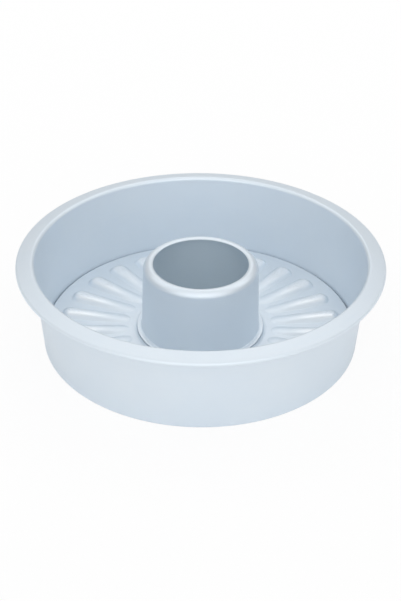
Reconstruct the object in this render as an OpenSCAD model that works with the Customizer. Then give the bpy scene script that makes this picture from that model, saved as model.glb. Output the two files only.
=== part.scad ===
// Angel food cake pan in anodised aluminium: a tapered shell with a rolled rim, a loose ribbed base plate
// that stands on a ledge at the shell's foot, and a tube clenched through the plate's centre.
// Millimetres. +Z is up, and the origin is the centre of the foot, on the table.

/* [Shell] */
// Inner diameter at the mouth, inside the rim's bend
inner_d = 254; // [225:1:290]
// Height from the table to the top of the rim
pan_h = 71; // [66:0.5:120]
// Lean of the wall away from upright, in degrees
wall_lean = 3.9; // [0.5:0.1:7]
// Thickness of the shell's sheet
shell_t = 1.2; // [0.8:0.1:1.6]
// Outside radius of the bend at the foot of the wall
foot_bend = 1.8; // [1.7:0.1:3]
// Width of the ledge that carries the base plate
ledge_w = 8; // [5:0.5:12]

/* [Rim] */
// Width of the rolled rim beyond the mouth, on each side
rim_w = 14.2; // [12:0.1:18]
// Radius of the rim's inner bend
rim_bend = 3.5; // [2.5:0.1:4.5]
// Fall of the rim's flat towards the outside, in degrees
rim_slope = 10; // [2:1:15]
// Radius of the rolled edge
curl_r = 2; // [1.7:0.1:2.5]
// Turn of the rolled edge, in degrees
curl_turn = 280; // [240:5:285]

/* [Base plate] */
// Thickness of the plate's sheet
plate_t = 1.2; // [0.8:0.1:1.5]
// Height of the plate's turned-down edge, from the ledge to the top of the plate
plate_edge_h = 6; // [5:0.5:9]
// Outside radius of the bend at the plate's edge
plate_bend = 1.8; // [1.6:0.1:3]
// Clearance between the plate's edge and the wall
plate_gap = 0.8; // [0.6:0.1:1.5]

/* [Ribs] */
// Number of pressed ribs
rib_count = 26; // [12:2:26]
// Distance from the plate's edge to the outer tips of the ribs
rib_margin = 10; // [8:0.5:20]
// Distance from the tube's foot bead to the inner tips of the ribs
rib_foot_margin = 6; // [6:0.5:14]
// Half width of a rib near its outer tip
rib_outer_w = 7.8; // [4:0.1:8]
// Half width of a rib near its inner tip
rib_inner_w = 6.9; // [3:0.1:6.9]
// Height of a rib above the plate
rib_h = 2.3; // [1.6:0.1:2.8]

/* [Tube] */
// Outer diameter of the tube at the plate
tube_d = 93; // [83:1:100]
// Height of the crown's ridge above the table
tube_top = 62.7; // [50:0.1:100]
// Lean of the tube's wall towards its crown, in degrees
tube_lean = 2; // [0:0.1:3]
// Thickness of the tube's sheet
tube_t = 1.2; // [0.8:0.1:1.6]
// Outside radius of the crown's bend
crown_r = 4.7; // [3:0.1:7]
// Turn of the crown beyond its ridge, down into the mouth, in degrees
lip_turn = 38; // [0:1:60]
// Diameter of the tube's open mouth
mouth_d = 73.8; // [40:0.1:80]
// Radius of the hollow curve above the foot bead
foot_r = 1; // [0.6:0.1:4]
// Thickness of the foot bead on the plate
bead_t = 1.2; // [1:0.1:2]
// Flat width of the foot bead beyond its hollow curve
bead_w = 3.2; // [0.8:0.1:4]
// Width of the clenched flange under the plate
clench_w = 4; // [3:0.5:6]
// Clearance between the tube's neck and the plate's hole
neck_gap = 0.15; // [0.1:0.05:0.4]

/* [Hidden] */
$fn = 96;

// Largest angle between two points of a bend, in degrees
arc_step = 9;
// How far a rib's balls stand proud of its cone, so that the two surfaces cross cleanly
ball_proud = 0.02;

// Heights that the pieces share
ledge_top = shell_t;
plate_top = ledge_top + plate_edge_h;
plate_under = plate_top - plate_t;
bead_top = plate_top + bead_t;

// Centre of the rim's inner bend. Every line that leans with the wall is set out from it.
bend_c = [inner_d / 2 + rim_bend, pan_h - rim_bend];

// Centre of the rolled edge, which the rim's flat runs into
curl_x = inner_d / 2 + rim_w - curl_r;
flat_run = (curl_x - bend_c.x - (rim_bend - curl_r) * sin(rim_slope)) / cos(rim_slope);
curl_c = bend_c + polar(rim_bend - curl_r, 90 - rim_slope) + polar(flat_run, -rim_slope);

// Centres of the bends at the shell's foot and at the plate's edge
foot_c = lean_point(rim_bend - shell_t + foot_bend, foot_bend);
edge_d = rim_bend + plate_gap + plate_bend;
edge_c = lean_point(edge_d, plate_top - plate_bend);
ledge_r = lean_point(rim_bend, 0).x - ledge_w;

// Tube radii, from the tube's outer face
tube_r = tube_d / 2;
neck_r = tube_r - tube_t / cos(tube_lean);
crown_c = [tube_face(tube_top - crown_r) - crown_r / cos(tube_lean), tube_top - crown_r];

// The crown's bend ends at the mouth, or runs on as a straight lip where the mouth is further in
lip_room = crown_c.x - mouth_d / 2;
lip_a = min(lip_turn, asin(max(-1, min(1, lip_room / crown_r))));
lip_run = (lip_room - crown_r * sin(lip_a)) / cos(lip_a);
hollow_c = [tube_face(bead_top + foot_r) + foot_r / cos(tube_lean), bead_top + foot_r];
bead_r = hollow_c.x + bead_w;
clench_r = tube_r + clench_w;

// Rib bead: the ball radius that gives a half width and a height, and the balls' places
ball_out = ball_radius(rib_outer_w, rib_h);
ball_in = ball_radius(rib_inner_w, rib_h);
plate_r = lean_point(rim_bend + plate_gap, plate_top).x;
rib_tip = plate_r - rib_margin;
rib_root = bead_r + rib_foot_margin;

// A point at a distance and an angle from the origin
function polar(r, a) = [r * cos(a), r * sin(a)];

// Points along an arc about c, from angle a0 to angle a1, either way round
function arc(c, r, a0, a1) =
    let (steps = ceil(abs(a1 - a0) / arc_step))
    [for (i = [0:steps]) c + polar(r, a0 + (a1 - a0) * i / steps)];

// The point at height z on the line that runs beside the wall, d inside the bend's centre
function lean_point(d, z) =
    [bend_c.x - d / cos(wall_lean) + (z - bend_c.y) * tan(wall_lean), z];

// Radius of the tube's outer face at height z
function tube_face(z) = tube_r - (z - plate_top) * tan(tube_lean);

// End of the lip on the face that the crown's bend gives radius r, or no point where there is no lip
function lip_end(r) = lip_run > 0.01 ? [crown_c + polar(r, 90 + lip_a) + polar(lip_run, 180 + lip_a)] : [];

// Radius of a ball whose cap has half width w and height h
function ball_radius(w, h) = (w * w + h * h) / (2 * h);

// Wall, rim and ledge in one sheet. The rim's edge curls under until it nears the flat.
module pan_shell() {
    flat_a = 90 - rim_slope;
    curl_a = flat_a - curl_turn;
    color([0.82, 0.86, 0.90]) rotate_extrude() polygon(concat(
        arc(bend_c, rim_bend, 180 - wall_lean, flat_a),
        arc(curl_c, curl_r, flat_a, curl_a),
        arc(curl_c, curl_r - shell_t, curl_a, flat_a),
        arc(bend_c, rim_bend - shell_t, flat_a, 180 - wall_lean),
        arc(foot_c, foot_bend, -wall_lean, -90),
        [[ledge_r, 0], [ledge_r, ledge_top]],
        arc(foot_c, foot_bend - shell_t, -90, -wall_lean)
    ));
}

// One rib's bead: two balls and the cone that runs between them, along +X. cut makes it smaller all over.
module rib_bead(cut = 0) {
    out_c = [rib_tip - rib_outer_w, 0, plate_top + rib_h - ball_out];
    in_c = [rib_root + rib_inner_w, 0, plate_top + rib_h - ball_in];
    span = out_c - in_c;
    flare = asin((ball_out - ball_in) / norm(span));
    translate(out_c) sphere(ball_out - cut + ball_proud);
    translate(in_c) sphere(ball_in - cut + ball_proud);
    translate(in_c) rotate([0, atan2(span.x, span.z), 0]) translate([0, 0, -(ball_in - cut) * sin(flare)])
        cylinder(
            h = norm(span) - (ball_out - ball_in) * sin(flare),
            r1 = (ball_in - cut) * cos(flare),
            r2 = (ball_out - cut) * cos(flare)
        );
}

// All the ribs' beads
module rib_ring(cut = 0) {
    for (i = [0:rib_count - 1]) rotate(90 + i * 360 / rib_count) rib_bead(cut);
}

// Plate with a turned-down edge, pressed ribs that are hollow beneath, and a hole for the tube's neck
module base_plate() {
    edge_in = edge_d - plate_bend + plate_t;
    color([0.80, 0.83, 0.86]) difference() {
        union() {
            rotate_extrude() polygon(concat(
                [[tube_r + neck_gap, plate_top]],
                arc(edge_c, plate_bend, 90, -wall_lean),
                [lean_point(edge_d - plate_bend, ledge_top), lean_point(edge_in, ledge_top)],
                arc(edge_c, plate_bend - plate_t, -wall_lean, 90),
                [[tube_r + neck_gap, plate_under]]
            ));
            intersection() {
                rib_ring();
                translate([0, 0, plate_top - plate_t / 2]) cylinder(h = plate_t + rib_h, r = plate_r);
            }
        }
        rib_ring(plate_t);
    }
}

// Tube with its crown, the folded foot bead on the plate, and the neck clenched under the plate
module centre_tube() {
    flange = tube_r - neck_r;
    color([0.78, 0.83, 0.88]) rotate_extrude() polygon(concat(
        lip_end(crown_r),
        arc(crown_c, crown_r, 90 + lip_a, tube_lean),
        arc(hollow_c, foot_r, 180 + tube_lean, 270),
        arc([bead_r - bead_t / 2, plate_top + bead_t / 2], bead_t / 2, 90, -90),
        [[tube_r, plate_top], [tube_r, plate_under], [clench_r, plate_under]],
        [[clench_r, plate_under - flange]],
        arc([tube_r, plate_under], flange, 270, 180),
        [[neck_r, plate_top]],
        arc(crown_c, crown_r - tube_t, tube_lean, 90 + lip_a),
        lip_end(crown_r - tube_t)
    ));
}

pan_shell();
base_plate();
centre_tube();
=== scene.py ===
# %% [markdown]
# An angel food cake pan in satin anodised aluminium. The real pan is three pieces of pressed sheet: a
# tapered shell with a rolled rim, a loose base plate with pressed ribs, and a tube clenched through the
# plate. The solid model sets where each piece is. This lesson turns the same outlines into smooth, finely
# divided sheet metal, gives each piece its anodised skin, and lights the pan as in a white studio.

# %% Load the frame
import math

import bmesh
import bpy
from mathutils import Matrix, Vector
from mathutils.geometry import intersect_line_line


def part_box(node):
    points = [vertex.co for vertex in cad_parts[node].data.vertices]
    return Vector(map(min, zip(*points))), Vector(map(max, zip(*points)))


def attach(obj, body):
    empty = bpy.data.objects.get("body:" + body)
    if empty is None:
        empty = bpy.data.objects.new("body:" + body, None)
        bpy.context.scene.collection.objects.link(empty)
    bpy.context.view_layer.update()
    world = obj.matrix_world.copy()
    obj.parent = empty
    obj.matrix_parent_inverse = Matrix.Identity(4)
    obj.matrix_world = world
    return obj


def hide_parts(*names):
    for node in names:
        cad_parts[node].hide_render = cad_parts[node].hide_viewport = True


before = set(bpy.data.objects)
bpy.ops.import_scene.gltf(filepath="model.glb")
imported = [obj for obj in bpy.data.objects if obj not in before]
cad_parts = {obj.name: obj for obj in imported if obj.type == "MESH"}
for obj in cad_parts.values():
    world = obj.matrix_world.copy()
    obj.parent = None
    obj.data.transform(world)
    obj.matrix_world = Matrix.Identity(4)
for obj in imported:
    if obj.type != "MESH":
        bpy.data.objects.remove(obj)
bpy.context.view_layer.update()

# %% [markdown]
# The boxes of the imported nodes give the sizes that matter: how wide the rim is, how high the pan and the
# tube stand, where the plate lies. Slopes and widths inside a piece can't be read from a box, so they repeat
# the driving sizes of the solid model, and the finer pieces land on it. A few bends are closer to the
# photograph here: the rim's is tighter, the tube's crown has a wide shoulder, and the plate is dished.

# %% Sizes from the frame
MM = 0.001
shell_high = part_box("pan_shell")[1]
plate_low, plate_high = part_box("base_plate")
tube_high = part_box("centre_tube")[1]

rim_r = shell_high.x
pan_h = shell_high.z
ledge_top = plate_low.z
rib_top = plate_high.z
tube_top = tube_high.z
bead_r = tube_high.x
print(f"rim radius {rim_r / MM:.2f} mm, height {pan_h / MM:.2f} mm, tube top {tube_top / MM:.2f} mm")

# %% Sizes inside each piece
sheet = 1.2 * MM
rim_w = 14.2 * MM
rim_bend = 2.7 * MM
rim_slope = math.radians(10)
curl_r = 2.0 * MM
curl_turn = math.radians(280)
wall_lean = math.radians(3.9)
wall_up = math.pi / 2 - wall_lean
foot_bend = 1.8 * MM
ledge_w = 8.0 * MM

solid_rib_h = 2.3 * MM
plate_top = rib_top - solid_rib_h
plate_dish = 2.0 * MM
dish_start = 75 * MM
plate_gap = 0.8 * MM
plate_bend = 1.8 * MM

tube_r = 46.5 * MM
tube_lean = math.radians(2)
lean_up = math.pi / 2 + tube_lean
mouth_r = 36.9 * MM
crown_r = 3.9 * MM
crown_fall = math.radians(14)
lip_turn = math.radians(38)
hollow_r = 1.0 * MM
bead_t = 1.2 * MM
bead_edge = bead_r - 0.5 * MM
neck_gap = 0.15 * MM
clench_w = 4.0 * MM
print(f"plate top {plate_top / MM:.2f} mm, foot bead radius {bead_edge / MM:.2f} mm")

# %% [markdown]
# The camera comes before the pieces, so that every render is framed like the photograph. It was found by
# fitting the pan's circles: a long lens, about a metre away, looking down 33 degrees, turned a hair
# clockwise. A pinhole's focal length in pixels becomes millimetres through the sensor's height.

# %% The camera
PHOTO_HEIGHT_PX = 601
FOCAL_PX = 1136
SENSOR_MM = 24
VIEW_DISTANCE = 0.894
VIEW_DOWN = math.radians(32.97)
VIEW_ROLL = math.radians(0.596)
AIM = Vector((0, 0, 0.0278))


def place_camera():
    """A camera on the -Y side, at the photograph's angle."""
    data = bpy.data.cameras.new("photo_camera")
    data.sensor_fit = "VERTICAL"
    data.sensor_height = SENSOR_MM
    data.lens = SENSOR_MM * FOCAL_PX / PHOTO_HEIGHT_PX
    camera = bpy.data.objects.new("photo_camera", data)
    bpy.context.scene.collection.objects.link(camera)
    back = Vector((0, -math.cos(VIEW_DOWN), math.sin(VIEW_DOWN)))
    turned = back.to_track_quat("Z", "Y").to_matrix().to_4x4()
    roll = Matrix.Rotation(VIEW_ROLL, 4, "Z")
    camera.matrix_world = Matrix.Translation(AIM + back * VIEW_DISTANCE) @ turned @ roll
    bpy.context.scene.camera = camera
    return camera


camera = place_camera()
print("camera at", tuple(round(c, 3) for c in camera.location), "lens", round(camera.data.lens, 2), "mm")

# %% [markdown]
# Spun and drawn sheet is a line turned about an axis. It could be drawn as a curve with a Screw modifier, but
# a mesh line keeps a mark on each vertex, and here the marks say where hands rub the metal, where the ribs'
# tops get a painted sheen, and where the tube's inside gets painted shade. So the line is drawn with sharp
# corners, each corner is bevelled to its bend radius, and the spin operator turns it. Bevel wants the
# distance from the corner to where the bend starts, which follows from the bend radius and the angle between
# the two edges.

# %% Helpers: draw a line of sheet, bend its corners, spin it
SPIN_STEPS = 192
WELD_DISTANCE = 0.002 * MM


def new_line(corners, closed=False):
    """A bmesh with one vertex per (radius, height) corner, joined in order. Returns it and its vertices."""
    bm = bmesh.new()
    bm.verts.layers.float.new("wear_and_sheen")
    bm.verts.layers.float.new("inner")
    points = [bm.verts.new((r, 0, z)) for r, z in corners]
    for a, b in zip(points, points[1:]):
        bm.edges.new((a, b))
    if closed:
        bm.edges.new((points[-1], points[0]))
    return bm, points


def bend(bm, corner, radius, segments, wear_and_sheen=0.0):
    """Rounds one corner of a drawn line to a bend radius, and marks how much hands rub it."""
    first, second = [edge.other_vert(corner).co - corner.co for edge in corner.link_edges]
    run = radius / math.tan(first.angle(second) / 2)
    made = bmesh.ops.bevel(bm, geom=[corner], offset=run, offset_type="OFFSET", segments=segments,
                           profile=0.5, affect="VERTICES", material=-1)
    layer = bm.verts.layers.float["wear_and_sheen"]
    for vert in made["verts"]:
        vert[layer] = wear_and_sheen


def spin_line(bm, steps=SPIN_STEPS):
    """Turns the drawn line once about the pan's axis."""
    bmesh.ops.spin(bm, geom=bm.verts[:] + bm.edges[:], cent=(0, 0, 0), axis=(0, 0, 1), dvec=(0, 0, 0),
                   angle=math.tau, steps=steps, use_merge=True, use_duplicate=False)
    bmesh.ops.remove_doubles(bm, verts=bm.verts[:], dist=WELD_DISTANCE)
    bmesh.ops.recalc_face_normals(bm, faces=bm.faces[:])


def corner_of(point_a, angle_a, point_b, angle_b):
    """Where two lines of the outline meet, each given by a point and its direction, as (radius, height)."""
    ends = []
    for (r, z), angle in ((point_a, angle_a), (point_b, angle_b)):
        start = Vector((r, 0, z))
        ends += [start, start + Vector((math.cos(angle), 0, math.sin(angle)))]
    meeting = intersect_line_line(*ends)[0]
    return meeting.x, meeting.z


# %% Helpers: make the object, give the sheet its thickness
def finish_piece(bm, name, body, node):
    """Makes the object, shades it smooth, and lets it ride in place of its CAD node."""
    mesh = bpy.data.meshes.new(name)
    for face in bm.faces:
        face.smooth = True
    bm.to_mesh(mesh)
    bm.free()
    piece = bpy.data.objects.new(name, mesh)
    bpy.context.scene.collection.objects.link(piece)
    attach(piece, body)
    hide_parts(node)
    print(f"{name}: {len(mesh.vertices)} vertices, {len(mesh.polygons)} faces")
    return piece


def give_thickness(piece):
    """Puts the metal behind the drawn face, whose normal points to the cake."""
    solid = piece.modifiers.new("sheet", "SOLIDIFY")
    solid.thickness = sheet
    solid.offset = -1
    solid.use_even_offset = True
    solid.use_rim = True
    print(f"{piece.name}: {solid.thickness / MM:.1f} mm thick")


# %% [markdown]
# The shell is one sheet from the rolled edge to the ledge. It could be drawn as a closed outline, with both
# faces of the metal. Here only the cake's side is drawn, and a Solidify modifier puts the metal behind it,
# which keeps the thickness even round every bend. The rolled edge is a point spun about the roll's centre, so
# it is a true roll with a free end tucked under.

# %% The shell
CURL_STEPS = 40
RIM_BEND_STEPS = 14
FOOT_BEND_STEPS = 5
rim_wear = 0.25

bend_c = Vector((rim_r - rim_w + rim_bend, 0, pan_h - rim_bend))
over_flat = Vector((math.sin(rim_slope), 0, math.cos(rim_slope)))
along_flat = Vector((math.cos(rim_slope), 0, -math.sin(rim_slope)))
curl_x = rim_r - curl_r
flat_run = (curl_x - bend_c.x - (rim_bend - curl_r) * over_flat.x) / along_flat.x
curl_c = bend_c + over_flat * (rim_bend - curl_r) + along_flat * flat_run


def wall_inside(height):
    """Radius of the wall's inner face at a height."""
    return bend_c.x - rim_bend / math.cos(wall_lean) + (height - bend_c.z) * math.tan(wall_lean)


def make_shell():
    """Rolled rim, wall and ledge in one even sheet."""
    roll_top = curl_c + over_flat * curl_r
    rim_corner = corner_of((roll_top.x, roll_top.z), -rim_slope, (wall_inside(0), 0), wall_up)
    foot = (wall_inside(ledge_top), ledge_top)
    ledge_end = (wall_inside(0) - ledge_w, ledge_top)
    bm, points = new_line([(roll_top.x, roll_top.z), rim_corner, foot, ledge_end])
    bend(bm, points[1], rim_bend, RIM_BEND_STEPS, rim_wear)
    bend(bm, points[2], foot_bend - sheet, FOOT_BEND_STEPS)
    bmesh.ops.spin(bm, geom=[points[0]], cent=curl_c, axis=(0, 1, 0), dvec=(0, 0, 0), angle=curl_turn,
                   steps=CURL_STEPS, use_merge=False, use_duplicate=False)
    spin_line(bm)
    return finish_piece(bm, "pressed_shell", "pan", "pan_shell")


shell = make_shell()
give_thickness(shell)

# %% [markdown]
# The base plate is a disc with a turned-down edge, dished two millimetres towards the tube. Its ribs are
# pressed by a die: a domed back and a crisp foot line. They could be separate beads joined to the disc, but
# the metal runs on from disc to rib, and a join would show. So the disc is a fine grid that a die presses.
# First come the rib's sizes, and the dish, which every height on the plate follows.

# %% Rib sizes and the dish
RIB_COUNT = 26
RIB_PITCH = math.tau / RIB_COUNT
rib_margin = 10.0 * MM
rib_foot_margin = 6.0 * MM
rib_tip = wall_inside(plate_top) - plate_gap - rib_margin
rib_root = bead_r + rib_foot_margin
rib_outer_w = 8.3 * MM
rib_inner_w = 6.0 * MM
rib_inner_h = 1.1 * MM
rib_dome = 2.5
rib_outer_round = 0.75
rib_inner_round = 1.6
# The ribs' tops are partly worn and partly given a painted sheen, lighter where they stand higher.
rib_wear_and_sheen = 0.8


def dish_drop(radius):
    """How far the dish lowers the plate at a radius."""
    outward = min(1.0, max(0.0, (radius - dish_start) / (plate_high.x - dish_start)))
    return plate_dish * (1 - outward ** 2)


rib_inner_c = rib_root + rib_inner_w * rib_inner_round
rib_outer_c = rib_tip - rib_outer_w * rib_outer_round
rib_full_h = rib_top - plate_top + dish_drop(rib_outer_c)
print(f"ribs from {rib_root / MM:.1f} to {rib_tip / MM:.1f} mm, up to {rib_full_h / MM:.2f} mm high")

# %% [markdown]
# The die works on one point at a time. It finds the nearest rib, and how far out and how far off the rib's
# spine the point is. A point near the rib's edge is drawn in towards it first, so that the flank gets a fine
# mesh, and then the point is lifted by the dome. It also says how high up the rib the point is, because hands
# and sponges rub the tops most, and because the tops get a painted sheen that grows with their height.

# %% The die
flank_reach = 2.4 * MM
flank_pull = 1.8
LEAST_VALLEY = 0.3 * MM
SPINE_WIDTH = 0.01 * MM


def nearest_rib(point):
    """Direction of the rib nearest to a point. One rib points along +Y."""
    turn = RIB_PITCH * round((math.atan2(point.y, point.x) - math.pi / 2) / RIB_PITCH) + math.pi / 2
    return Vector((math.cos(turn), math.sin(turn), 0))


def draw_in(edge, reach):
    """Moves a distance from the rib's edge nearer to nought, within the reach."""
    if abs(edge) >= reach:
        return edge
    return math.copysign(reach * (abs(edge) / reach) ** flank_pull, edge)


def press_rib(point):
    """Where the die moves a point of the flat plate, and how far up the rib's full height it is."""
    axis = nearest_rib(point)
    along = min(rib_outer_c, max(rib_inner_c, point.dot(axis)))
    share = (along - rib_inner_c) / (rib_outer_c - rib_inner_c)
    half_width = rib_inner_w + share * (rib_outer_w - rib_inner_w)
    height = rib_inner_h + (rib_full_h - rib_inner_h) * math.sin(share * math.pi / 2)
    spine = axis * along + Vector((0, 0, point.z))
    beyond = (point - spine).dot(axis)
    across = (point - spine - axis * beyond).length
    off_axis = math.hypot(across, beyond / (rib_outer_round if beyond > 0 else rib_inner_round))
    if off_axis < SPINE_WIDTH:
        return point + Vector((0, 0, height)), height / rib_full_h
    valley = max(LEAST_VALLEY, point.xy.length * math.sin(RIB_PITCH / 2) - half_width)
    reach = flank_reach if off_axis < half_width else min(flank_reach, valley)
    width = half_width + draw_in(off_axis - half_width, reach)
    lift = height * max(0.0, 1 - (width / half_width) ** rib_dome)
    return spine + (point - spine) * (width / off_axis) + Vector((0, 0, lift)), lift / rib_full_h


# %% [markdown]
# The plate's line runs from the hole to the foot of its turned-down edge. The stretch under the ribs is cut
# into many rows and the line is spun in many steps, which gives the die its grid. Last, the whole disc sinks
# into its dish.

# %% The base plate
RIB_GRID = 22
RIB_ROWS = 60
MARGIN_ROWS = 4
EDGE_BEND_STEPS = 8
edge_wear = 0.4


def make_plate():
    """Disc with pressed ribs and an edge turned down onto the ledge."""
    edge_line = wall_inside(0) - plate_gap / math.cos(wall_lean)
    edge_corner = corner_of((0, plate_top), 0.0, (edge_line, 0), wall_up)
    edge_end = corner_of((0, ledge_top), 0.0, (edge_line, 0), wall_up)
    rib_start = (rib_root - flank_reach, plate_top)
    rib_end = (rib_tip + flank_reach, plate_top)
    bm, points = new_line([(tube_r + neck_gap, plate_top), rib_start, rib_end, edge_corner, edge_end])
    bend(bm, points[3], plate_bend, EDGE_BEND_STEPS, edge_wear)
    ribbed = [e for e in bm.edges if points[1] in e.verts and points[2] in e.verts]
    margin = [e for e in bm.edges if points[2] in e.verts and e not in ribbed]
    bmesh.ops.subdivide_edges(bm, edges=ribbed, cuts=RIB_ROWS)
    bmesh.ops.subdivide_edges(bm, edges=margin, cuts=MARGIN_ROWS)
    spin_line(bm, RIB_COUNT * RIB_GRID)
    layer = bm.verts.layers.float["wear_and_sheen"]
    for vert in bm.verts:
        if rib_start[0] < vert.co.xy.length < rib_end[0]:
            vert.co, rise = press_rib(vert.co)
            # Wear and painted sheen on the ribs, stronger towards their tops.
            vert[layer] = rib_wear_and_sheen * rise
        vert.co.z -= dish_drop(vert.co.xy.length)
    return finish_piece(bm, "ribbed_base", "insert", "base_plate")


plate = make_plate()
give_thickness(plate)

# %% [markdown]
# The tube's crown is what the eye meets first: a tight bend at the ridge, which runs on into a wide shoulder.
# One bend of even radius is simpler, but its highlight is a thin line, and the photograph has a broad one.
# The shoulder's radius follows from the room between the ridge and the wall. Places here are pairs of radius
# and height.

# %% The crown
lip_side = Vector((-math.sin(lip_turn), math.cos(lip_turn)))
fall_side = Vector((math.sin(crown_fall), math.cos(crown_fall)))
wall_side = Vector((math.cos(tube_lean), math.sin(tube_lean)))
ridge_c = Vector((mouth_r - crown_r * lip_side.x, tube_top - crown_r))

wall_room = wall_side.dot(Vector((tube_r, plate_top)) - ridge_c)
turn_share = wall_side.dot(fall_side)
shoulder_r = (wall_room - crown_r * turn_share) / (1 - turn_share)
neck_r = tube_r - sheet / math.cos(tube_lean)


def crown_corners(bend_r, wall_r):
    """The lip's end and the corners of crown and shoulder, on the face that has this bend and wall radius."""
    lip_end = tuple(ridge_c + lip_side * bend_r)
    fall = tuple(ridge_c + fall_side * bend_r)
    crown = corner_of(lip_end, lip_turn, fall, -crown_fall)
    shoulder = corner_of(fall, -crown_fall, (wall_r, plate_top), lean_up)
    return lip_end, crown, shoulder


print(f"shoulder radius {shoulder_r / MM:.1f} mm, crown radius {crown_r / MM:.1f} mm")

# %% [markdown]
# The tube is drawn as a closed outline and not as a single sheet, because its foot is folded: a bead lies on
# the plate, the neck goes through the hole, and a flange is clenched under it. Each row of the outline holds
# a corner, its bend radius, the bend's steps and how much hands wear it. A hollow curve runs into the bead.

# %% The centre tube
lip_edge_r = 0.12 * MM
bead_top_r = 0.55 * MM
bead_under_r = 0.45 * MM
clench_edge_r = 0.3 * MM
neck_bend = 0.98 * sheet


def tube_outline():
    """Rows of (corner, bend radius, steps, wear), from the lip down the outside and up the inside."""
    foot_top = plate_top - dish_drop(tube_r)
    foot_under = foot_top - sheet
    clench_r = tube_r + clench_w
    lip_out, crown_out, shoulder_out = crown_corners(crown_r, tube_r)
    lip_in, crown_in, shoulder_in = crown_corners(crown_r - sheet, neck_r)
    hollow = corner_of((0, foot_top + bead_t), 0.0, (tube_r, plate_top), lean_up)
    return [
        (lip_out, lip_edge_r, 3, 0.3),
        (crown_out, crown_r, 16, 0.15),
        (shoulder_out, shoulder_r, 18, 0.15),
        (hollow, hollow_r, 12, 0.0),
        ((bead_edge, foot_top + bead_t), bead_top_r, 5, 0.6),
        ((bead_edge, foot_top), bead_under_r, 5, 0.2),
        ((tube_r, foot_top), 0, 0, 0.0),
        ((tube_r, foot_under), 0, 0, 0.0),
        ((clench_r, foot_under), clench_edge_r, 3, 0.5),
        ((clench_r, foot_under - sheet), clench_edge_r, 3, 0.5),
        ((neck_r, foot_under - sheet), neck_bend, 8, 0.1),
        ((neck_r, foot_top), 0, 0, 0.0),
        (shoulder_in, shoulder_r - sheet, 14, 0.0),
        (crown_in, crown_r - sheet, 12, 0.0),
        (lip_in, lip_edge_r, 3, 0.2),
    ]


def make_tube():
    """Crown, leaning wall, foot bead, neck and clenched flange. Marks the wall's inner face, which gets
    painted shade.
    """
    outline = tube_outline()
    bm, points = new_line([corner for corner, *_ in outline], closed=True)
    for point, (_, radius, steps, wear_and_sheen) in zip(points, outline):
        if radius:
            bend(bm, point, radius, steps, wear_and_sheen)
    spin_line(bm)
    # The inner face below the crown is marked for a painted shade, darker and greener.
    inner = bm.verts.layers.float["inner"]
    for vert in bm.verts:
        outer_face = tube_r - (vert.co.z - plate_top) * math.tan(tube_lean)
        if vert.co.xy.length < outer_face - sheet / 2 and vert.co.z < ridge_c.y:
            vert[inner] = 1.0
    return finish_piece(bm, "drawn_tube", "insert", "centre_tube")


tube = make_tube()

# %% [markdown]
# Materials come next. The three pieces share one finish, so its effects are shader groups: the fine rings
# that spinning and drawing leave, the etched grain under the anodising, and the skin that puts both together
# with its colour, roughness, wear, painted sheen and painted shade. All of them read object coordinates in
# metres, so the scale is real.

# %% Node helpers
VECTOR, NUMBER, COLOR = "NodeSocketVector", "NodeSocketFloat", "NodeSocketColor"


def put(tree, kind, inputs=None, **settings):
    """Adds a node. An input is a socket to link from, or a value to set."""
    node = tree.nodes.new(kind)
    for name, value in settings.items():
        setattr(node, name, value)
    for key, value in (inputs or {}).items():
        if isinstance(value, bpy.types.NodeSocket):
            tree.links.new(value, node.inputs[key])
        else:
            node.inputs[key].default_value = value
    return node


def calc(tree, operation, first, second):
    """The result of one sum."""
    return put(tree, "ShaderNodeMath", {0: first, 1: second}, operation=operation).outputs[0]


def ramp(tree, value, start, end, low=0.0, high=1.0, shape="SMOOTHSTEP"):
    """The value's place between start and end, as a number from low to high."""
    inputs = {"Value": value, "From Min": start, "From Max": end, "To Min": low, "To Max": high}
    return put(tree, "ShaderNodeMapRange", inputs, interpolation_type=shape).outputs["Result"]


def blend(tree, share, first, second):
    """Two colours mixed by a share."""
    inputs = {"Factor": share, "A": first, "B": second}
    return put(tree, "ShaderNodeMix", inputs, data_type="RGBA").outputs["Result"]


def new_group(name, inputs, outputs):
    """An empty shader group with named sockets, and its two end nodes."""
    tree = bpy.data.node_groups.new(name, "ShaderNodeTree")
    for label, kind, value in inputs:
        socket = tree.interface.new_socket(label, in_out="INPUT", socket_type=kind)
        if value is not None:
            socket.default_value = value
    for label, kind in outputs:
        tree.interface.new_socket(label, in_out="OUTPUT", socket_type=kind)
    return tree, tree.nodes.new("NodeGroupInput"), tree.nodes.new("NodeGroupOutput")


# %% [markdown]
# The rings are what a spinning lathe and a drawing die leave. A Wave texture could draw them, but its lines
# are all alike. This is noise that is read at a point's distance from the axis and its height, never its
# angle, so every line runs right round. A slow wobble keeps the lines from looking ruled.

# %% Rings left by spinning and drawing
WOBBLE_SCALE = 22.0
WOBBLE_REACH = 0.8 * MM


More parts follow.
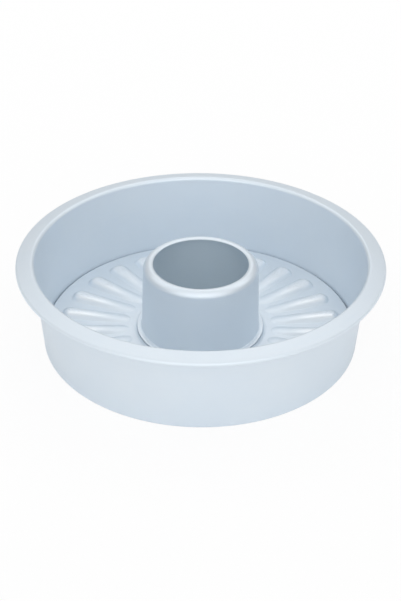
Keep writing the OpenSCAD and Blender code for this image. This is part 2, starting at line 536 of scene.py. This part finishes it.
def make_rings():
    """Fine rings about the axis, as a number from 0 to 1."""
    tree, start, end = new_group(
        "turned_rings",
        [("Position", VECTOR, None), ("Rings per Metre", NUMBER, 2200.0)],
        [("Rings", NUMBER)])
    position = start.outputs["Position"]
    wobble = put(tree, "ShaderNodeTexNoise", {"Vector": position, "Scale": WOBBLE_SCALE, "Detail": 1.0})
    shift = calc(tree, "MULTIPLY", wobble.outputs["Fac"], WOBBLE_REACH)
    level = put(tree, "ShaderNodeVectorMath", {0: position, 1: (1, 1, 0)}, operation="MULTIPLY")
    radius = put(tree, "ShaderNodeVectorMath", {0: level.outputs[0]}, operation="LENGTH")
    place = calc(tree, "ADD", radius.outputs["Value"], shift)
    height = put(tree, "ShaderNodeSeparateXYZ", {0: position})
    line = put(tree, "ShaderNodeCombineXYZ", {"X": place, "Y": height.outputs["Z"]})
    rings = put(tree, "ShaderNodeTexNoise", {
        "Vector": line.outputs[0],
        "Scale": start.outputs["Rings per Metre"],
        "Detail": 2.0,
        "Roughness": 0.6,
    })
    tree.links.new(rings.outputs["Fac"], end.inputs["Rings"])
    return tree


rings_group = make_rings()
print("group:", rings_group.name, "with", len(rings_group.nodes), "nodes")

# %% [markdown]
# Aluminium is etched before it is anodised, which leaves a fine, even grain, and the dye takes a little
# unevenly. Both could be painted maps, but noise in metres fits any piece and never repeats. The group puts
# out three numbers: the grain, the dye's slow clouding, and the smudges that hands leave.

# %% Etched grain, clouding and smudges
GRAINS_PER_METRE = 3500.0
CLOUD_SCALE = 28.0
SMUDGE_SCALE = 60.0
SMUDGE_FROM, SMUDGE_FULL = 0.52, 0.75


def make_grain():
    """The etched surface: fine grain, slow clouding and smudges."""
    tree, start, end = new_group(
        "etched_grain",
        [("Position", VECTOR, None), ("Grains per Metre", NUMBER, GRAINS_PER_METRE)],
        [("Grain", NUMBER), ("Cloud", NUMBER), ("Smudge", NUMBER)])
    position = start.outputs["Position"]
    grain = put(tree, "ShaderNodeTexNoise", {
        "Vector": position,
        "Scale": start.outputs["Grains per Metre"],
        "Detail": 2.0,
        "Roughness": 0.7,
    })
    cloud = put(tree, "ShaderNodeTexNoise", {
        "Vector": position,
        "Scale": CLOUD_SCALE,
        "Detail": 4.0,
        "Roughness": 0.55,
    })
    blot = put(tree, "ShaderNodeTexNoise", {
        "Vector": position,
        "Scale": SMUDGE_SCALE,
        "Detail": 3.0,
        "Distortion": 0.6,
    })
    smudge = ramp(tree, blot.outputs["Fac"], SMUDGE_FROM, SMUDGE_FULL)
    tree.links.new(grain.outputs["Fac"], end.inputs["Grain"])
    tree.links.new(cloud.outputs["Fac"], end.inputs["Cloud"])
    tree.links.new(smudge, end.inputs["Smudge"])
    return tree


grain_group = make_grain()
print("group:", grain_group.name, "with", len(grain_group.nodes), "nodes")

# %% [markdown]
# The skin mixes them. Its colour drifts between two close blues with the clouding and the rings, and goes to
# bare metal where the pressed edges are rubbed. On the ribs' tops that pale metal is partly wear and partly a
# painted sheen, which grows with the ribs' height. Rubbed metal is also smoother, and smudges are a little
# rougher. The inside of the tube gets painted shade: a deeper and greener grey, for the shade down in the
# tube. One group for all this means that the three pieces can't drift apart.

# %% Colours and shares of the skin
TINT = (0.75, 0.815, 0.87, 1)
DEEP_TINT = (0.72, 0.795, 0.865, 1)
PALE_TINT = (0.765, 0.83, 0.885, 1)
PALE_DEEP_TINT = (0.735, 0.81, 0.88, 1)
# Painted shade for the tube's inner face: a darker, greener grey.
INSIDE_SHADE_TINT = (0.63, 0.73, 0.805, 1)
# Pale bare metal for worn edges; on the ribs' tops it is partly a painted sheen.
BARE_METAL_AND_SHEEN = (0.885, 0.925, 0.96, 1)

DRIFT_FROM, DRIFT_FULL = 0.35, 1.0
GRAIN_AGAINST_WEAR = 0.6
WEAR_FULL = 0.5
GRAIN_ROUGHENS = 0.05
SMUDGE_ROUGHENS = 0.04
WEAR_ROUGHENS = -0.12
GRAIN_HEIGHT = 0.5
print("tints:", TINT[:3], PALE_TINT[:3], INSIDE_SHADE_TINT[:3])


# %% The anodised skin
def make_skin():
    """Colour, roughness and height of satin anodised aluminium, with painted shade inside the tube and a
    painted sheen on the ribs' tops.
    """
    tree, start, end = new_group(
        "anodised_skin",
        [("Position", VECTOR, None), ("Wear and Sheen", NUMBER, 0.0), ("Inner", NUMBER, 0.0),
         ("Tint", COLOR, TINT), ("Deep Tint", COLOR, DEEP_TINT),
         ("Inner Tint", COLOR, INSIDE_SHADE_TINT), ("Bare Metal and Sheen", COLOR, BARE_METAL_AND_SHEEN),
         ("Rings per Metre", NUMBER, 2200.0), ("Ring Share", NUMBER, 0.5), ("Satin", NUMBER, 0.5)],
        [("Color", COLOR), ("Roughness", NUMBER), ("Height", NUMBER)])
    given = start.outputs
    rings = put(tree, "ShaderNodeGroup", node_tree=rings_group)
    grain = put(tree, "ShaderNodeGroup", node_tree=grain_group)
    tree.links.new(given["Position"], rings.inputs["Position"])
    tree.links.new(given["Position"], grain.inputs["Position"])
    tree.links.new(given["Rings per Metre"], rings.inputs["Rings per Metre"])

    ring_drift = calc(tree, "MULTIPLY", rings.outputs["Rings"], given["Ring Share"])
    drift = calc(tree, "ADD", grain.outputs["Cloud"], ring_drift)
    depth = ramp(tree, drift, DRIFT_FROM, DRIFT_FULL, shape="LINEAR")
    tint = blend(tree, depth, given["Tint"], given["Deep Tint"])
    # Painted shade: the tube's inner face turns darker and greener.
    tint = blend(tree, given["Inner"], tint, given["Inner Tint"])

    # Wear, and partly a painted sheen on the ribs' tops, turns the colour to pale bare metal.
    kept = calc(tree, "MULTIPLY", grain.outputs["Grain"], GRAIN_AGAINST_WEAR)
    rubbed_and_sheen = calc(tree, "SUBTRACT", given["Wear and Sheen"], kept)
    bare_and_sheen = ramp(tree, rubbed_and_sheen, 0.0, WEAR_FULL)
    color = blend(tree, bare_and_sheen, tint, given["Bare Metal and Sheen"])

    coarse = ramp(tree, grain.outputs["Grain"], 0.0, 1.0, -GRAIN_ROUGHENS, GRAIN_ROUGHENS, "LINEAR")
    satin = calc(tree, "ADD", given["Satin"], coarse)
    satin = calc(tree, "ADD", satin, calc(tree, "MULTIPLY", grain.outputs["Smudge"], SMUDGE_ROUGHENS))
    satin = calc(tree, "ADD", satin, calc(tree, "MULTIPLY", bare_and_sheen, WEAR_ROUGHENS))

    fine = calc(tree, "MULTIPLY", grain.outputs["Grain"], GRAIN_HEIGHT)
    tree.links.new(color, end.inputs["Color"])
    tree.links.new(satin, end.inputs["Roughness"])
    tree.links.new(calc(tree, "ADD", ring_drift, fine), end.inputs["Height"])
    return tree


skin_group = make_skin()
print("group:", skin_group.name, "with", len(skin_group.nodes), "nodes")

# %% [markdown]
# Each piece gets a material of its own around the shared skin. The shell is spun on a lathe, so it has
# coarse, strong rings. The base is pressed and nearly plain. The tube lies between, and is a shade paler, as
# in the photograph. Plain metal would show little but the room. The oxide layer on anodised metal scatters
# light as paint does, so the pieces are half metal, which also keeps their colour under other lights.

# %% The three anodised materials
METAL_SHARE = 0.5
BUMP_STRENGTH = 0.25
BUMP_HEIGHT = 0.04 * MM


def anodised(name, tint, deep_tint, rings_per_metre, ring_share, satin):
    """One piece's anodised aluminium, from the shared skin."""
    material = bpy.data.materials.new(name)
    material.use_nodes = True
    tree = material.node_tree
    shader = tree.nodes["Principled BSDF"]
    shader.inputs["Metallic"].default_value = METAL_SHARE
    place = put(tree, "ShaderNodeTexCoord")
    # The wear mark also carries the painted sheen on the ribs' tops.
    wear_and_sheen = put(tree, "ShaderNodeAttribute", attribute_name="wear_and_sheen")
    # This mark says where the tube's inside gets its painted shade.
    inner = put(tree, "ShaderNodeAttribute", attribute_name="inner")
    skin = put(tree, "ShaderNodeGroup", node_tree=skin_group)
    for key, value in {"Tint": tint, "Deep Tint": deep_tint, "Rings per Metre": rings_per_metre,
                       "Ring Share": ring_share, "Satin": satin}.items():
        skin.inputs[key].default_value = value
    bump = put(tree, "ShaderNodeBump", {
        "Height": skin.outputs["Height"],
        "Strength": BUMP_STRENGTH,
        "Distance": BUMP_HEIGHT,
    })
    tree.links.new(place.outputs["Object"], skin.inputs["Position"])
    tree.links.new(wear_and_sheen.outputs["Fac"], skin.inputs["Wear and Sheen"])
    tree.links.new(inner.outputs["Fac"], skin.inputs["Inner"])
    tree.links.new(skin.outputs["Color"], shader.inputs["Base Color"])
    tree.links.new(skin.outputs["Roughness"], shader.inputs["Roughness"])
    tree.links.new(bump.outputs["Normal"], shader.inputs["Normal"])
    return material


shell.data.materials.append(
    anodised("anodised_shell", TINT, DEEP_TINT, rings_per_metre=1800.0, ring_share=0.6, satin=0.46))
plate.data.materials.append(
    anodised("anodised_base", TINT, DEEP_TINT, rings_per_metre=2600.0, ring_share=0.35, satin=0.4))
tube.data.materials.append(
    anodised("anodised_tube", PALE_TINT, PALE_DEEP_TINT, rings_per_metre=2200.0, ring_share=0.5, satin=0.4))
print("materials:", [piece.data.materials[0].name for piece in (shell, plate, tube)])

# %% [markdown]
# The studio is a white floor under plain, even light. More lamps could drive the floor to white, but they
# would bleach the pan. Instead the floor is lit like everything else, so it throws light back onto the pan,
# and a camera ray, or a ray that a surface reflects, also sees it glow at a strength of 1, which is paper
# white. The glow leaves a faint share of the pan's own shadow. Reflected rays see none of it right under the
# pan, where no light falls.

# %% Floor
FLOOR_HALF_SIDE = 4
FLOOR_DROP = 0.05 * MM
FLOOR_WHITE = (0.95, 0.95, 0.95, 1)
FLOOR_ROUGHNESS = 0.9
SHADOW_SHARE = 0.1
SHADE_R, OPEN_FLOOR_R = 0.11, 0.3


def rays_that_see(tree, path):
    """1 for camera, glossy and transmission rays, and 0 for the rays that only light the scene."""
    seen = calc(tree, "ADD", path.outputs["Is Camera Ray"], path.outputs["Is Glossy Ray"])
    seen = put(tree, "ShaderNodeMath", {0: seen, 1: path.outputs["Is Transmission Ray"]}, use_clamp=True)
    return seen.outputs[0]


def studio_white():
    """White that reads as paper, and keeps a faint shadow."""
    material = bpy.data.materials.new("studio_white")
    material.use_nodes = True
    tree = material.node_tree
    surface = tree.nodes["Principled BSDF"]
    surface.inputs["Base Color"].default_value = FLOOR_WHITE
    surface.inputs["Roughness"].default_value = FLOOR_ROUGHNESS
    glow = put(tree, "ShaderNodeEmission", {"Strength": 1.0})
    path = put(tree, "ShaderNodeLightPath")
    place = put(tree, "ShaderNodeTexCoord")
    away = put(tree, "ShaderNodeVectorMath", {0: place.outputs["Object"]}, operation="LENGTH")
    open_floor = ramp(tree, away.outputs["Value"], SHADE_R, OPEN_FLOOR_R)
    lit = calc(tree, "MAXIMUM", open_floor, path.outputs["Is Camera Ray"])
    share = calc(tree, "MULTIPLY", lit, rays_that_see(tree, path))
    share = calc(tree, "MULTIPLY", share, 1 - SHADOW_SHARE)
    mix = put(tree, "ShaderNodeMixShader", {
        "Fac": share,
        1: surface.outputs["BSDF"],
        2: glow.outputs["Emission"],
    })
    tree.links.new(mix.outputs["Shader"], tree.nodes["Material Output"].inputs["Surface"])
    return material


def make_floor():
    """A wide white floor, a hair below the pan's foot."""
    bm = bmesh.new()
    bmesh.ops.create_grid(bm, x_segments=1, y_segments=1, size=FLOOR_HALF_SIDE,
                          matrix=Matrix.Translation((0, 0, -FLOOR_DROP)))
    mesh = bpy.data.meshes.new("studio_floor")
    bm.to_mesh(mesh)
    bm.free()
    mesh.materials.append(studio_white())
    floor = bpy.data.objects.new("studio_floor", mesh)
    bpy.context.scene.collection.objects.link(floor)
    return floor


floor = make_floor()
print("floor:", tuple(floor.dimensions), "m")

# %% [markdown]
# The sky is the tent of a product studio: a soft gradient, bright overhead and in front, dim behind. A plain
# grey world would light the pan as evenly, but it would leave no shape on the metal. The gradient is read
# from each ray's direction. Near the horizon it is white to the rays that see, so that a low view has a white
# background too.

# %% Sky
SKY_OVERHEAD = 0.82
SKY_FRONT = 1.2
FRONT_FROM, FRONT_FULL = -0.1, -0.9
HORIZON_FROM, HORIZON_FULL = 0.22, 0.08


def make_sky():
    """The world: a gradient over the pan, white near the horizon."""
    world = bpy.data.worlds.new("studio_world")
    bpy.context.scene.world = world
    world.use_nodes = True
    tree = world.node_tree
    sky = tree.nodes["Background"]
    sky.inputs["Color"].default_value = (1, 1, 1, 1)
    place = put(tree, "ShaderNodeTexCoord")
    toward = put(tree, "ShaderNodeSeparateXYZ", {0: place.outputs["Generated"]}).outputs
    overhead = calc(tree, "MULTIPLY", calc(tree, "MAXIMUM", toward["Z"], 0.0), SKY_OVERHEAD)
    front = ramp(tree, toward["Y"], FRONT_FROM, FRONT_FULL, high=SKY_FRONT)
    tent = calc(tree, "ADD", overhead, front)
    low = ramp(tree, toward["Z"], HORIZON_FROM, HORIZON_FULL)
    horizon = calc(tree, "MULTIPLY", low, rays_that_see(tree, put(tree, "ShaderNodeLightPath")))
    strength = put(tree, "ShaderNodeMix", {"Factor": horizon, "A": tent, "B": 1.0}, data_type="FLOAT")
    tree.links.new(strength.outputs["Result"], sky.inputs["Strength"])
    return world


world = make_sky()
print("world:", world.name)

# %% [markdown]
# Large soft boxes behind and at both sides put the long highlights on the ribs, the crown and the rim. Sun
# lamps would give hard, thin ones. Each box is given by its place, its side in metres and its power.

# %% Soft boxes
SOFT_BOXES = {
    "back_softbox": ((0, 1.6, 1.8), 1.8, 7.4),
    "left_softbox": ((-1.6, 0.6, 1.6), 1.4, 4.5),
    "right_softbox": ((1.6, 0.6, 1.6), 1.4, 5.5),
}


def add_softbox(name, place, side, power):
    """A square soft light at a place, facing the pan."""
    data = bpy.data.lights.new(name, "AREA")
    data.shape = "SQUARE"
    data.size = side
    data.energy = power
    lamp = bpy.data.objects.new(name, data)
    bpy.context.scene.collection.objects.link(lamp)
    away = Vector(place) - AIM
    lamp.matrix_world = Matrix.Translation(place) @ away.to_track_quat("Z", "Y").to_matrix().to_4x4()


for name, (place, side, power) in SOFT_BOXES.items():
    add_softbox(name, place, side, power)
    print(f"{name}: {power} W from a {side} m square")

# %% [markdown]
# The picture is shown as it was worked out, through the Standard view transform, so that a colour keeps its
# value.

bpy.context.scene.view_settings.view_transform = "Standard"
